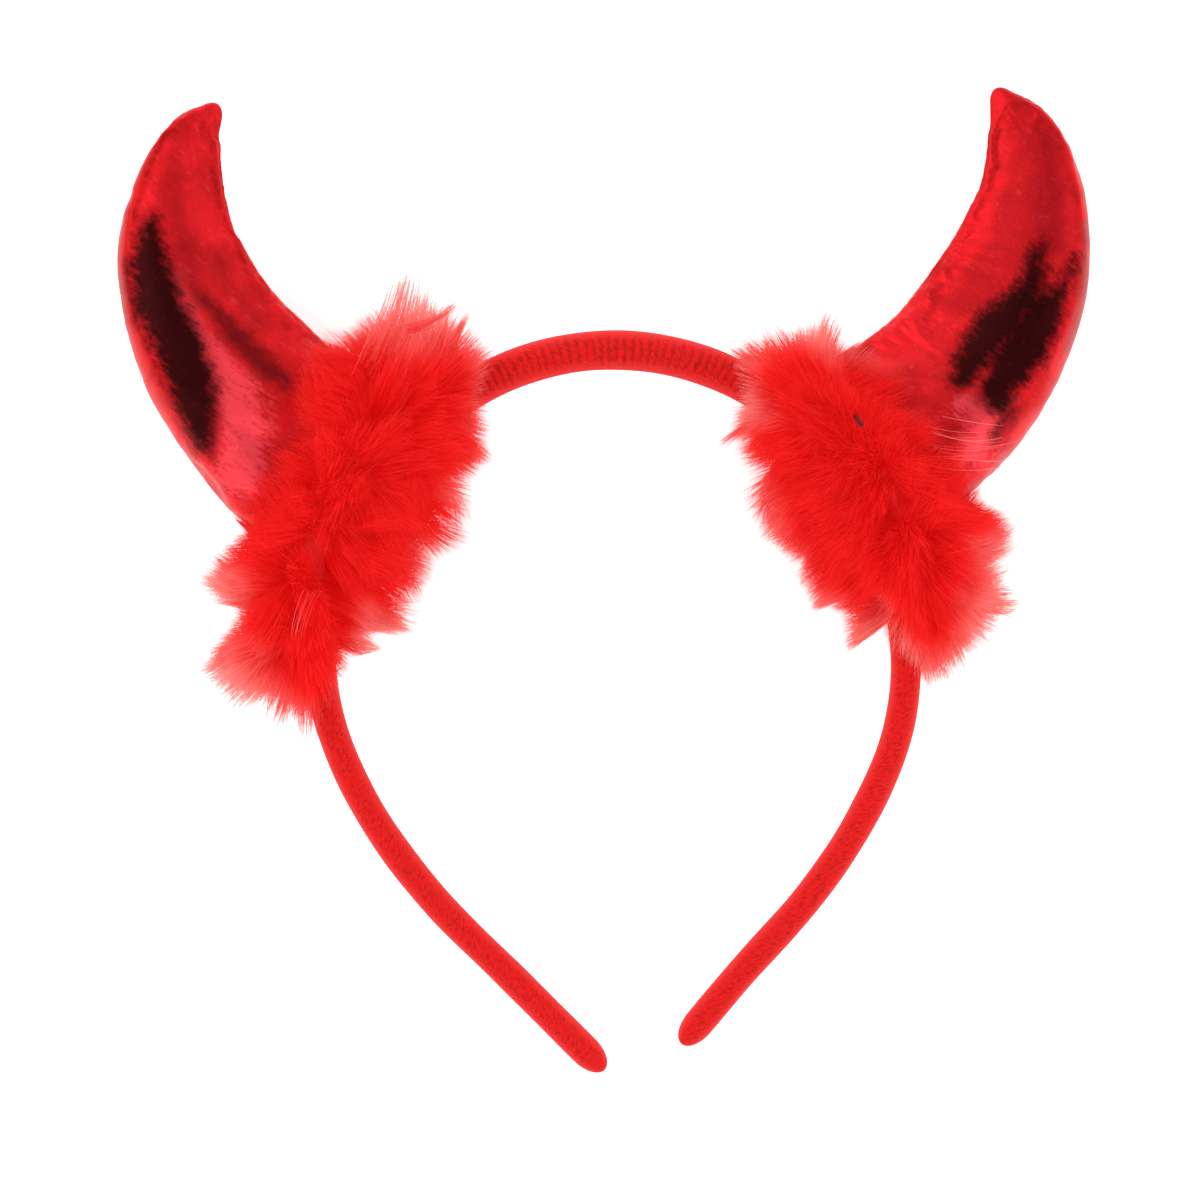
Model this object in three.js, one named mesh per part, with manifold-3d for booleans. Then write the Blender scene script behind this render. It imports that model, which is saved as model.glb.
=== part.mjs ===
// Devil horns headband: a wrapped band, two stuffed foil-cloth horns and a marabou trim round each horn's foot.
// Millimetres. The headband lies on its back: X across, Y from the band's tips to its crown, Z up from the surface.

import * as THREE from "three";
import { mergeVertices } from "three/addons/utils/BufferGeometryUtils.js";
import Module from "manifold-3d";

const wasm = await Module();
wasm.setup();

const clearance = 0.35; // between pieces that touch
const finest = 0.06; // detail finer than this is smoothed away
const closest = 0.1; // corners closer than this become one
const thinnest = 0.02; // a face thinner than this is turned
const tidyPasses = 3;
const restHeight = 16.5; // from the surface up to the band's middle plane

// The band: half an ellipse for the crown, and two legs that draw in to the tips.
const archWidth = 117; // across the centreline where it is widest
const crownRise = 63; // from the widest place up to the crown's centreline
const leftLegDrop = 81; // from the widest place down to the end of each tip
const rightLegDrop = 75.8;
const crownThickness = 8; // away from the head
const legThickness = 6.2;
const crownDepth = 9; // front to back
const legDepth = 7.4;
const tipRounding = 5.5; // length over which each tip rounds off

const bandSides = 14;
const crownSpans = 13; // odd, so that one facet lies flat at the crown
const legSpans = 5;
const stepsPerSpan = 3;

// Down each leg: how far down it is, and how far out from the middle, as a share of half the arch.
const leftLeg = [
  { down: 0.18, out: 0.952 },
  { down: 0.38, out: 0.819 },
  { down: 0.58, out: 0.612 },
  { down: 0.78, out: 0.335 },
  { down: 1.0, out: 0.03 },
];
const rightLeg = [
  { down: 0.2, out: 0.963 },
  { down: 0.41, out: 0.843 },
  { down: 0.61, out: 0.669 },
  { down: 0.82, out: 0.428 },
  { down: 1.0, out: 0.232 },
];

// The horns: sections from the foot on the band to the tip. Reach is along the foot's outward normal, and lean is
// towards the crown. Ridge moves the fullest place towards the outer curve.
const hornSides = 20;
const hornStepsPerSection = 2;
const hornFootWidth = 38.5; // along the band
const hornFootDepth = 29; // front to back
const hornRidge = 0.3;
const hornTipRounding = 2.2;

const leftHorn = {
  name: "horn_left",
  side: -1,
  footAngle: 33, // up the crown's ellipse from the widest place, in degrees
  reach: 68,
  lean: 49,
  sections: [
    { reach: 0, lean: 0, width: 1, depth: 1 },
    { reach: 0.24, lean: 0.02, width: 0.99, depth: 0.99 },
    { reach: 0.45, lean: 0.105, width: 0.92, depth: 0.93 },
    { reach: 0.61, lean: 0.195, width: 0.84, depth: 0.86 },
    { reach: 0.745, lean: 0.32, width: 0.735, depth: 0.77 },
    { reach: 0.85, lean: 0.46, width: 0.64, depth: 0.67 },
    { reach: 0.915, lean: 0.61, width: 0.515, depth: 0.54 },
    { reach: 0.958, lean: 0.76, width: 0.4, depth: 0.42 },
    { reach: 0.978, lean: 0.9, width: 0.27, depth: 0.28 },
    { reach: 0.972, lean: 1, width: 0.13, depth: 0.14 },
  ],
};
const rightHorn = {
  name: "horn_right",
  side: 1,
  footAngle: 38,
  reach: 71.5,
  lean: 42,
  sections: [
    { reach: 0, lean: 0, width: 0.99, depth: 1 },
    { reach: 0.26, lean: 0.005, width: 0.965, depth: 0.99 },
    { reach: 0.42, lean: 0.045, width: 0.92, depth: 0.93 },
    { reach: 0.56, lean: 0.135, width: 0.865, depth: 0.86 },
    { reach: 0.69, lean: 0.255, width: 0.79, depth: 0.77 },
    { reach: 0.79, lean: 0.39, width: 0.685, depth: 0.67 },
    { reach: 0.875, lean: 0.54, width: 0.565, depth: 0.54 },
    { reach: 0.93, lean: 0.7, width: 0.45, depth: 0.42 },
    { reach: 0.96, lean: 0.86, width: 0.32, depth: 0.29 },
    { reach: 0.968, lean: 1, width: 0.13, depth: 0.14 },
  ],
};

// The marabou trims: an oval ring of fluff round the foot of each horn, with locks out to the trim's outline.
// Each outline row is a tuft: its turn about the trim's middle, from the leg's side towards the horn, in degrees,
// and its reach as a share of the trim's reach.
const ringHalfDepth = 18; // from the middle plane to the ring's centreline, front and back
const ringSeat = 5; // of the ring beside the horn, above the band's centreline
const ringRadius = 7.6; // of the packed fluff
const ringSteps = 32;
const ringSides = 10;
const trimRise = 35; // of the fluff above and below the middle plane
const lockRootRadius = 4.8;
const lockTipRadius = 1.4;
const lockSides = 5;
const lockSteps = 3;
const lockTaper = 1.7; // over 1 keeps a lock full for longer
const lockCurl = 0.16; // sideways bend, as a share of the lock's length
const lockLongest = 29;
const locksRound = 14;
const lockScatter = 0.3; // how far a lock strays along the ring, as a share of the space between locks
const lockTilts = [-72, -24, 24, 70]; // of the locks at one place, from outwards towards the horn, in degrees
const bandSkirt = 0.42; // how near the band, as a share of the ring's depth, no lock is sent inwards

const leftTrim = {
  name: "feather_trim_left",
  horn: leftHorn,
  ringHalfLength: 25.5,
  shift: 4.5, // of the trim's middle from the horn's foot, towards the leg
  reach: 47,
  outline: [
    { turn: 8, reach: 1 },
    { turn: 20, reach: 0.72 },
    { turn: 42, reach: 0.72 },
    { turn: 56, reach: 0.5 },
    { turn: 115, reach: 0.54 },
    { turn: 134, reach: 0.8 },
    { turn: 157, reach: 0.88 },
    { turn: 170, reach: 1 },
    { turn: 190, reach: 0.9 },
    { turn: 208, reach: 0.7 },
    { turn: 229, reach: 0.55 },
    { turn: 250, reach: 0.54 },
    { turn: 270, reach: 0.48 },
    { turn: 300, reach: 0.54 },
    { turn: 328, reach: 0.58 },
    { turn: 340, reach: 1 },
    { turn: 352, reach: 0.95 },
  ],
};
const rightTrim = {
  name: "feather_trim_right",
  horn: rightHorn,
  ringHalfLength: 22.5,
  shift: 6,
  reach: 41,
  outline: [
    { turn: 8, reach: 0.95 },
    { turn: 22, reach: 0.9 },
    { turn: 46, reach: 0.77 },
    { turn: 58, reach: 0.56 },
    { turn: 110, reach: 0.56 },
    { turn: 150, reach: 0.86 },
    { turn: 166, reach: 0.92 },
    { turn: 180, reach: 0.95 },
    { turn: 200, reach: 0.78 },
    { turn: 222, reach: 0.66 },
    { turn: 244, reach: 0.63 },
    { turn: 268, reach: 0.57 },
    { turn: 284, reach: 0.51 },
    { turn: 304, reach: 0.6 },
    { turn: 320, reach: 0.74 },
    { turn: 330, reach: 0.66 },
    { turn: 345, reach: 1 },
  ],
};

const up = new THREE.Vector3(0, 0, 1);
const radians = THREE.MathUtils.degToRad;

// A closed skin through rings of equally many points, each ring turning right-handed about the way they run.
function loft(rings) {
  const sides = rings[0].length;
  const points = rings.flat();
  const middle = (ring) =>
    ring.reduce((sum, p) => sum.add(p), new THREE.Vector3()).divideScalar(sides);
  points.push(middle(rings[0]), middle(rings.at(-1)));
  const [start, end] = [points.length - 2, points.length - 1];
  const faces = [];
  for (let j = 0; j < sides; j++) {
    const next = (j + 1) % sides;
    faces.push(start, next, j);
    for (let i = 0; i < rings.length - 1; i++) {
      const [a, b] = [i * sides + j, i * sides + next];
      const [c, d] = [b + sides, a + sides];
      faces.push(a, b, c, a, c, d);
    }
    const last = (rings.length - 1) * sides;
    faces.push(end, last + j, last + next);
  }
  return new THREE.BufferGeometry().setFromPoints(points).setIndex(faces);
}

// A closed geometry as a manifold-3d solid, and back again.
function solidOf(geometry) {
  const bare = geometry.clone();
  bare.deleteAttribute("normal");
  bare.deleteAttribute("uv");
  const merged = mergeVertices(bare, 1e-4);
  return new wasm.Manifold(
    new wasm.Mesh({
      numProp: 3,
      vertProperties: merged.attributes.position.array,
      triVerts: new Uint32Array(merged.index.array),
    }),
  );
}

function geometryOf(solid) {
  const mesh = solid.getMesh();
  return new THREE.BufferGeometry()
    .setAttribute("position", new THREE.BufferAttribute(mesh.vertProperties, 3))
    .setIndex(new THREE.BufferAttribute(mesh.triVerts, 1));
}

// The largest body of a solid, without the slivers that cutting leaves.
function tidied(solid) {
  const eased = geometryOf(solidOf(geometryOf(solid)).setTolerance(finest));
  const corners = Array.from({ length: eased.attributes.position.count }, (_, i) =>
    new THREE.Vector3().fromBufferAttribute(eased.attributes.position, i),
  );
  const index = Array.from(eased.index.array);
  let faces = Array.from({ length: index.length / 3 }, (_, i) => index.slice(3 * i, 3 * i + 3));
  for (let pass = 0; pass < tidyPasses; pass++) {
    faces = closedUp(corners, faces);
    turnThinFaces(corners, faces);
  }
  const neat = new THREE.BufferGeometry().setFromPoints(corners).setIndex(faces.flat());
  const bodies = solidOf(neat).decompose();
  return bodies.sort((a, b) => b.volume() - a.volume())[0];
}

// The faces at each corner, as sets of places in the list of faces.
function facesAt(corners, faces) {
  const at = corners.map(() => new Set());
  faces.forEach((face, f) => face.forEach((corner) => at[corner].add(f)));
  return at;
}

// Draws the ends of each short edge together, where that leaves the surface closed and simple.
function closedUp(corners, faces) {
  const at = facesAt(corners, faces);
  const around = (corner) => new Set([...at[corner]].flatMap((f) => faces[f]));
  faces.forEach((face) => {
    for (let k = 0; k < 3; k++) {
      const [a, b] = [face[k], face[(k + 1) % 3]];
      if (face.dropped || a === b || corners[a].distanceTo(corners[b]) > closest) continue;
      const both = [...around(a)].filter((corner) => around(b).has(corner));
      const shared = [...at[a]].filter((f) => at[b].has(f));
      if (both.length !== 4 || shared.length !== 2) continue;
      corners[a].lerp(corners[b], 0.5);
      for (const f of shared) {
        faces[f].dropped = true;
        faces[f].forEach((corner) => at[corner].delete(f));
      }
      for (const f of at[b]) {
        faces[f][faces[f].indexOf(b)] = a;
        at[a].add(f);
      }
      at[b].clear();
      return;
    }
  });
  return faces.filter((face) => !face.dropped);
}

// Turns the long edge of each needle-thin face, so that it joins the two far corners.
function turnThinFaces(corners, faces) {
  let at = facesAt(corners, faces);
  faces.forEach((face, f) => {
    const length = (k) => corners[face[k]].distanceTo(corners[face[(k + 1) % 3]]);
    const longest = [0, 1, 2].sort((j, k) => length(k) - length(j))[0];
    const [a, b, c] = [0, 1, 2].map((k) => face[(longest + k) % 3]);
    const area = new THREE.Triangle(corners[a], corners[b], corners[c]).getArea();
    if ((2 * area) / length(longest) > thinnest) return;
    const other = [...at[a]].find((g) => g !== f && at[b].has(g));
    const d = faces[other].find((corner) => corner !== a && corner !== b);
    if ([...at[c]].some((g) => at[d].has(g))) return;
    faces[f] = [a, d, c];
    faces[other] = [d, b, c];
    at = facesAt(corners, faces);
  });
}

// A section at a place: an oval with one half-size away from the head or across, and one front to back.
function oval(centre, across, halfAcross, halfDepth, sides, ridge = 0) {
  return Array.from({ length: sides }, (_, j) => {
    const turn = ((j + 0.5) * 2 * Math.PI) / sides;
    const fullness = 1 + ridge * Math.cos(turn);
    return centre
      .clone()
      .addScaledVector(across, halfAcross * Math.cos(turn))
      .addScaledVector(up, halfDepth * Math.sin(turn) * fullness);
  });
}

// The crown's ellipse at an angle up from the widest place, on the left (-1) or the right (1).
function crownPoint(angle, side) {
  return new THREE.Vector3(
    (side * Math.cos(angle) * archWidth) / 2,
    Math.sin(angle) * crownRise,
    restHeight,
  );
}

function legPoints(rows, drop, side) {
  return rows.map(
    ({ down, out }) => new THREE.Vector3((side * out * archWidth) / 2, -down * drop, restHeight),
  );
}

const bandCurve = new THREE.CatmullRomCurve3(
  [
    ...legPoints(leftLeg, leftLegDrop, -1).reverse(),
    ...Array.from({ length: crownSpans + 1 }, (_, i) =>
      crownPoint(Math.PI - (i * Math.PI) / crownSpans, 1),
    ),
    ...legPoints(rightLeg, rightLegDrop, 1),
  ],
  false,
  "catmullrom",
  0.5,
);

function bandSolid(grow = 0) {
  const steps = (crownSpans + 2 * legSpans) * stepsPerSpan;
  const places = Array.from({ length: steps + 1 }, (_, i) => i / steps);
  const roundings = [0.02, 0.12, 0.35, 0.65]; // extra sections in each rounded tip, as shares of its length
  const total = bandCurve.getLength();
  const shareAlong = (share) => bandCurve.getUtoTmapping(share);
  for (const share of roundings) {
    const near = (share * tipRounding) / total;
    places.push(shareAlong(near), shareAlong(1 - near));
  }
  places.sort((a, b) => a - b);
  const rings = places.slice(1, -1).map((t) => {
    const centre = bandCurve.getPoint(t);
    const outwards = up.clone().cross(bandCurve.getTangent(t));
    const crownShare = THREE.MathUtils.clamp(centre.y / crownRise, 0, 1);
    const along = bandLengthTo(t);
    const fromTip = Math.min(along, total - along) / tipRounding;
    const round = fromTip < 1 ? Math.sqrt(1 - (1 - fromTip) ** 2) : 1;
    const thickness = THREE.MathUtils.lerp(legThickness, crownThickness, crownShare);
    const depth = THREE.MathUtils.lerp(legDepth, crownDepth, crownShare);
    return oval(
      centre,
      outwards,
      (round * thickness) / 2 + grow,
      (round * depth) / 2 + grow,
      bandSides,
    );
  });
  return solidOf(loft(rings));
}

// The band's length from its left tip to the curve's parameter t.
function bandLengthTo(t) {
  const pieces = 400;
  const lengths = bandCurve.getLengths(pieces);
  const at = t * pieces;
  const whole = Math.min(Math.floor(at), pieces - 1);
  return THREE.MathUtils.lerp(lengths[whole], lengths[whole + 1], at - whole);
}

// Where a horn stands on the band, with the directions outwards and down along the band.
function footOf({ footAngle, side }) {
  const angle = radians(footAngle);
  const point = crownPoint(angle, side);
  const outwards = new THREE.Vector3(
    (side * Math.cos(angle) * 2) / archWidth,
    Math.sin(angle) / crownRise,
    0,
  ).normalize();
  const down = new THREE.Vector3(side * outwards.y, -side * outwards.x, 0);
  return { point, outwards, down };
}

function hornSolid(horn, grow = 0) {
  const { point, outwards, down } = footOf(horn);
  const rows = horn.sections;
  const centres = new THREE.CatmullRomCurve3(
    rows.map((row) =>
      point
        .clone()
        .addScaledVector(outwards, row.reach * horn.reach)
        .addScaledVector(down, -row.lean * horn.lean),
    ),
  );
  const sizes = new THREE.CatmullRomCurve3(
    rows.map((row) => new THREE.Vector3(row.width * hornFootWidth, row.depth * hornFootDepth, 0)),
  );
  const steps = (rows.length - 1) * hornStepsPerSection;
  const rings = Array.from({ length: steps + 1 }, (_, i) => {
    const t = i / steps;
    const across = up.clone().cross(centres.getTangent(t));
    const size = sizes.getPoint(t);
    return oval(
      centres.getPoint(t),
      across,
      size.x / 2 + grow,
      size.y / 2 + grow,
      hornSides,
      -horn.side * hornRidge,
    );
  });
  const tip = rings.at(-1);
  const tipCentre = centres.getPoint(1).addScaledVector(centres.getTangent(1), hornTipRounding);
  rings.push(tip.map((p) => p.clone().lerp(tipCentre, 0.55).addScaledVector(centres.getTangent(1), 0.4)));
  return solidOf(loft(rings));
}

// How far the trim's front outline reaches at a turn about its middle.
function outlineReach(trim, turn) {
  const rows = trim.outline;
  const degrees = ((THREE.MathUtils.radToDeg(turn) % 360) + 360) % 360;
  const after = rows.findIndex((row) => row.turn > degrees);
  const b = after < 0 ? rows[0] : rows[after];
  const a = after <= 0 ? rows.at(-1) : rows[after - 1];
  const span = (b.turn - a.turn + 360) % 360;
  const share = ((degrees - a.turn + 360) % 360) / span;
  return trim.reach * THREE.MathUtils.lerp(a.reach, b.reach, share);
}

function trimSolid(trim) {
  const { point, outwards, down } = footOf(trim.horn);
  const middle = point.clone().addScaledVector(down, trim.shift);
  const bandRadius = archWidth / 2;
  const place = (along, out, depth) =>
    middle
      .clone()
      .addScaledVector(down, along)
      .addScaledVector(outwards, out)
      .addScaledVector(up, depth);
  const sag = (along) => (along + trim.shift) ** 2 / (2 * bandRadius);
  const ringPoint = (turn) => {
    const along = trim.ringHalfLength * Math.cos(turn);
    return place(along, ringSeat - sag(along), ringHalfDepth * Math.sin(turn));
  };
  const insideOutline = (p) => {
    const from = p.clone().sub(middle);
    const [along, out, depth] = [from.dot(down), from.dot(outwards), from.z];
    const reach = outlineReach(trim, Math.atan2(out, along));
    return Math.hypot(Math.hypot(along, out) / reach, depth / trimRise) < 1;
  };

  const ring = new THREE.CatmullRomCurve3(
    Array.from({ length: ringSteps }, (_, i) => ringPoint((i * 2 * Math.PI) / ringSteps)),
    true,
  );
  let fluff = ringOf(ring, outwards);

  for (let i = 0; i < locksRound; i++) {
    lockTilts.forEach((tilt, k) => {
      const scatter = lockScatter * Math.sin(1.7 * i + 2.1 * k + 0.8);
      const turn = ((i + 0.5 * (k % 2) + scatter) * 2 * Math.PI) / locksRound;
      const besideBand = Math.abs(Math.sin(turn)) < bandSkirt;
      if (besideBand && tilt < -30) return;
      const root = ringPoint(turn);
      const away = place(Math.cos(turn), 0, Math.sin(turn)).sub(middle);
      const lean = radians(tilt + 9 * Math.sin(2.4 * i + k));
      const direction = away
        .multiplyScalar(Math.cos(lean))
        .addScaledVector(outwards, Math.sin(lean))
        .normalize();
      let length = ringRadius;
      while (length < lockLongest && insideOutline(root.clone().addScaledVector(direction, length)))
        length += 0.5;
      if (length > ringRadius + 2) fluff = fluff.add(lockSolid(root, direction, length, i + k));
    });
  }

  const floor = new THREE.BoxGeometry(400, 400, 100).translate(0, 0, -50);
  return tidied(
    fluff
      .subtract(hornSolid(trim.horn, clearance))
      .subtract(bandSolid(clearance))
      .subtract(solidOf(floor)),
  );
}

// The packed fluff: a round tube along the closed ring.
function ringOf(ring, outwards) {
  const points = [];
  const faces = [];
  for (let i = 0; i < ringSteps; i++) {
    const centre = ring.getPoint(i / ringSteps);
    const along = ring.getTangent(i / ringSteps);
    const away = along.clone().cross(outwards).normalize();
    const side = along.clone().cross(away);
    for (let j = 0; j < ringSides; j++) {
      const turn = (j * 2 * Math.PI) / ringSides;
      points.push(
        centre
          .clone()
          .addScaledVector(away, ringRadius * Math.cos(turn))
          .addScaledVector(side, ringRadius * Math.sin(turn)),
      );
      const [next, ahead] = [(j + 1) % ringSides, ((i + 1) % ringSteps) * ringSides];
      const [a, b] = [i * ringSides + j, i * ringSides + next];
      faces.push(a, b, ahead + next, a, ahead + next, ahead + j);
    }
  }
  return solidOf(new THREE.BufferGeometry().setFromPoints(points).setIndex(faces));
}

// One lock of fluff: a tapering, slightly curled cone.
function lockSolid(root, direction, length, which) {
  const sideways = direction.clone().cross(new THREE.Vector3(0.3, 0.5, 0.8)).normalize();
  const swing = sideways.clone().applyAxisAngle(direction, 2.4 * which);
  const other = direction.clone().cross(swing);
  const rings = Array.from({ length: lockSteps + 1 }, (_, i) => {
    const share = i / lockSteps;
    const radius = THREE.MathUtils.lerp(lockRootRadius, lockTipRadius, share ** lockTaper);
    const centre = root
      .clone()
      .addScaledVector(direction, length * share)
      .addScaledVector(swing, lockCurl * length * share ** 2);
    return Array.from({ length: lockSides }, (_, j) => {
      const turn = (j * 2 * Math.PI) / lockSides;
      return centre
        .clone()
        .addScaledVector(swing, radius * Math.cos(turn))
        .addScaledVector(other, radius * Math.sin(turn));
    });
  });
  return solidOf(loft(rings));
}

const wrap = new THREE.MeshStandardMaterial({ color: 0xd8181a, roughness: 0.85, metalness: 0 });
const foil = new THREE.MeshStandardMaterial({ color: 0xd01c28, roughness: 0.32, metalness: 0.9 });
const marabou = new THREE.MeshStandardMaterial({ color: 0xe8141a, roughness: 0.95, metalness: 0 });

function meshOf(name, solid, material) {
  const geometry = geometryOf(solid);
  geometry.computeVertexNormals();
  const mesh = new THREE.Mesh(geometry, material);
  mesh.name = name;
  return mesh;
}

const headband = new THREE.Group();
headband.add(meshOf("headband", bandSolid(), wrap));
for (const horn of [leftHorn, rightHorn])
  headband.add(meshOf(horn.name, tidied(hornSolid(horn).subtract(bandSolid(clearance))), foil));
for (const trim of [leftTrim, rightTrim])
  headband.add(meshOf(trim.name, trimSolid(trim), marabou));

// The origin is under the middle of the whole piece, on the surface that it lies on.
const bounds = new THREE.Box3().setFromObject(headband);
const centre = bounds.getCenter(new THREE.Vector3());
headband.position.set(-centre.x, -centre.y, -bounds.min.z);

export default headband;
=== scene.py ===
import math

import bpy
import numpy as np
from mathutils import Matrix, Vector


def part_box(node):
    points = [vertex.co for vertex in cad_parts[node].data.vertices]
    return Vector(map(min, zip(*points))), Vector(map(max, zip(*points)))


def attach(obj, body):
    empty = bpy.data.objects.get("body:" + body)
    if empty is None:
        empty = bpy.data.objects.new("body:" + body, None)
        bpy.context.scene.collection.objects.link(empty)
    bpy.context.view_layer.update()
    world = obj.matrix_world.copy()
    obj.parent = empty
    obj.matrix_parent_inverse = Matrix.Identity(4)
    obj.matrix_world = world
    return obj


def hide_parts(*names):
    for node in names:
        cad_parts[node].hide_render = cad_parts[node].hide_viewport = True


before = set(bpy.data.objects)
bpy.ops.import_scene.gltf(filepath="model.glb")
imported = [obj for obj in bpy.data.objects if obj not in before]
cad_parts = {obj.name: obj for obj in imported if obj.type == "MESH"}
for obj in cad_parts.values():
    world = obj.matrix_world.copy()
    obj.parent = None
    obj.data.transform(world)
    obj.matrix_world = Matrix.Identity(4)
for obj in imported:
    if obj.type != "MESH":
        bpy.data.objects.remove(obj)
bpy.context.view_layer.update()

# Looks of the devil horns headband: a ribbed cord band, two stuffed foil-cloth horns, two marabou trims.
# Lengths in the dictionaries are millimetres in the band's own layout, where zero is the middle of its
# widest line. X goes from the left horn to the right one, Y up to the crown and Z out of the front.
up = np.array([0.0, 0.0, 1.0])


# A value in a shader's node tree, so that sums on it add Math nodes.
class Wire:
    def __init__(self, tree, socket):
        self.tree = tree
        self.socket = socket

    def sum(self, operation, first, second):
        return addNode(self.tree, "ShaderNodeMath", {"operation": operation}, {0: first, 1: second})

    def __add__(self, other):
        return self.sum("ADD", self, other)

    def __radd__(self, other):
        return self.sum("ADD", other, self)

    def __sub__(self, other):
        return self.sum("SUBTRACT", self, other)

    def __rsub__(self, other):
        return self.sum("SUBTRACT", other, self)

    def __mul__(self, other):
        return self.sum("MULTIPLY", self, other)

    def __rmul__(self, other):
        return self.sum("MULTIPLY", other, self)


# Adds any node: its settings first, then its inputs' values or links.
def addNode(tree, kind, settings=None, inputs=None, output=0):
    node = tree.nodes.new(kind)
    for name, value in (settings or {}).items():
        setattr(node, name, value)
    for name, value in (inputs or {}).items():
        socket = node.inputs[name]
        if isinstance(value, Wire):
            tree.links.new(value.socket, socket)
        elif socket.type == "RGBA":
            socket.default_value = (*value, 1)
        else:
            socket.default_value = value
    return Wire(tree, node.outputs[output])


# A blend of two colours by a share.
def blendColours(tree, share, first, second):
    settings = {"data_type": "RGBA", "blend_type": "MIX"}
    return addNode(tree, "ShaderNodeMix", settings, {0: share, 6: first, 7: second}, 2)


# A smooth step of a value from 0 at low to 1 at high: 3x^2 - 2x^3 of its share of the way.
def stepBetween(tree, value, low, high):
    inputs = {"Value": value, "From Min": low, "From Max": high}
    return addNode(tree, "ShaderNodeMapRange", {"interpolation_type": "SMOOTHSTEP"}, inputs)


# A noise over a vector, with a node's other inputs as they are given.
def noiseOver(tree, vector, scale, **inputs):
    return addNode(tree, "ShaderNodeTexNoise", None, {"Vector": vector, "Scale": scale, **inputs})


# An attribute of the mesh as a value.
def attributeOf(tree, name):
    return addNode(tree, "ShaderNodeAttribute", {"attribute_name": name}, None, "Fac")


# An empty material and its node tree.
def newMaterial(name):
    material = bpy.data.materials.new(name)
    material.use_nodes = True
    material.node_tree.nodes.clear()
    return material, material.node_tree


# Links a surface to the material's output.
def finishMaterial(tree, surface):
    output = tree.nodes.new("ShaderNodeOutputMaterial")
    tree.links.new(surface.socket, output.inputs["Surface"])


# Uniform Catmull-Rom curve through points at shares t: on each span the four points about it are weighted
# by cubics. With a, b, c, d about a span and w the share of it: b + w/2 * (c - a + w * (2a - 5b + 4c - d +
# w * (3(b - c) + d - a))).
def splineAt(points, t):
    points = np.asarray(points, float)
    ends = np.vstack([2 * points[0] - points[1], points, 2 * points[-1] - points[-2]])
    along = np.clip(np.asarray(t, float), 0, 1) * (len(points) - 1)
    span = np.minimum(along.astype(int), len(points) - 2)
    w = (along - span)[:, None]
    a, b, c, d = (ends[span + k] for k in range(4))
    return b + 0.5 * w * (c - a + w * (2 * a - 5 * b + 4 * c - d + w * (3 * (b - c) + d - a)))


# Smooth wandering of x between about -1 and 1: sin(x + a) + sin(2.17x + b) + sin(0.43x + c), with phases
# from a seed, divided by 2.2.
def wander(x, seed):
    phases = np.random.default_rng(seed).uniform(0, 2 * np.pi, 3)
    return (np.sin(x + phases[0]) + np.sin(2.17 * x + phases[1]) + np.sin(0.43 * x + phases[2])) / 2.2


# Vectors divided by their lengths.
def unit(vectors):
    return vectors / np.maximum(np.linalg.norm(vectors, axis=-1, keepdims=True), 1e-12)


# Smooth step: 3t^2 - 2t^3 of the share t of x between low and high.
def smooth(low, high, x):
    share = np.clip((x - low) / (high - low), 0, 1)
    return share * share * (3 - 2 * share)


# Puts points and faces of any size into a mesh object, with one UV pair for each face corner.
def meshPiece(name, points, faceGroups, uvGroups=None):
    mesh = bpy.data.meshes.new(name)
    corners = np.concatenate([faces.ravel() for faces in faceGroups]).astype(np.int32)
    sizes = np.concatenate([np.full(len(faces), faces.shape[1]) for faces in faceGroups]).astype(np.int32)
    mesh.vertices.add(len(points))
    mesh.vertices.foreach_set("co", np.asarray(points, np.float32).ravel())
    mesh.loops.add(len(corners))
    mesh.loops.foreach_set("vertex_index", corners)
    mesh.polygons.add(len(sizes))
    mesh.polygons.foreach_set("loop_start", (np.cumsum(sizes) - sizes).astype(np.int32))
    mesh.polygons.foreach_set("loop_total", sizes)
    mesh.polygons.foreach_set("use_smooth", np.ones(len(sizes), bool))
    if uvGroups is not None:
        layer = mesh.uv_layers.new(name="surface")
        flat = np.concatenate([np.asarray(uv, np.float32).reshape(-1, 2) for uv in uvGroups])
        layer.data.foreach_set("uv", flat.ravel())
    mesh.update()
    mesh.validate()
    piece = bpy.data.objects.new(name, mesh)
    bpy.context.scene.collection.objects.link(piece)
    return piece


# A closed skin over a grid of points [along, round]: quads that wrap round, and a fan to a pole at each end.
# The UV map counts along and round in the values given.
def closedSkin(name, grid, alongValues, roundValues, poles):
    n, m = grid.shape[:2]
    points = np.vstack([grid.reshape(-1, 3), poles])
    i, j = np.meshgrid(np.arange(n - 1), np.arange(m), indexing="ij")
    i, j = i.ravel(), j.ravel()
    nextJ = (j + 1) % m
    quads = np.stack([i * m + j, i * m + nextJ, (i + 1) * m + nextJ, (i + 1) * m + j], 1)
    ring = np.arange(m)
    after = (ring + 1) % m
    first = np.stack([np.full(m, n * m), after, ring], 1)
    last = np.stack([np.full(m, n * m + 1), (n - 1) * m + ring, (n - 1) * m + after], 1)
    u = np.asarray(alongValues, float)
    v = np.append(roundValues, roundValues[-1] * 2 - roundValues[-2])
    quadUv = np.stack([u[i], v[j], u[i], v[j + 1], u[i + 1], v[j + 1], u[i + 1], v[j]], 1)
    start, end = np.full(m, u[0]), np.full(m, u[-1])
    firstUv = np.stack([start, v[ring], start, v[ring + 1], start, v[ring]], 1)
    lastUv = np.stack([end, v[ring], end, v[ring], end, v[ring + 1]], 1)
    return meshPiece(name, points, [quads, first, last], [quadUv, firstUv, lastUv])


# Gives each point of a piece a value, and its poles 0.
def addAttribute(piece, name, values):
    attribute = piece.data.attributes.new(name, "FLOAT", "POINT")
    full = np.append(values.ravel(), np.zeros(len(piece.data.vertices) - values.size))
    attribute.data.foreach_set("value", full.astype(np.float32))


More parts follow.
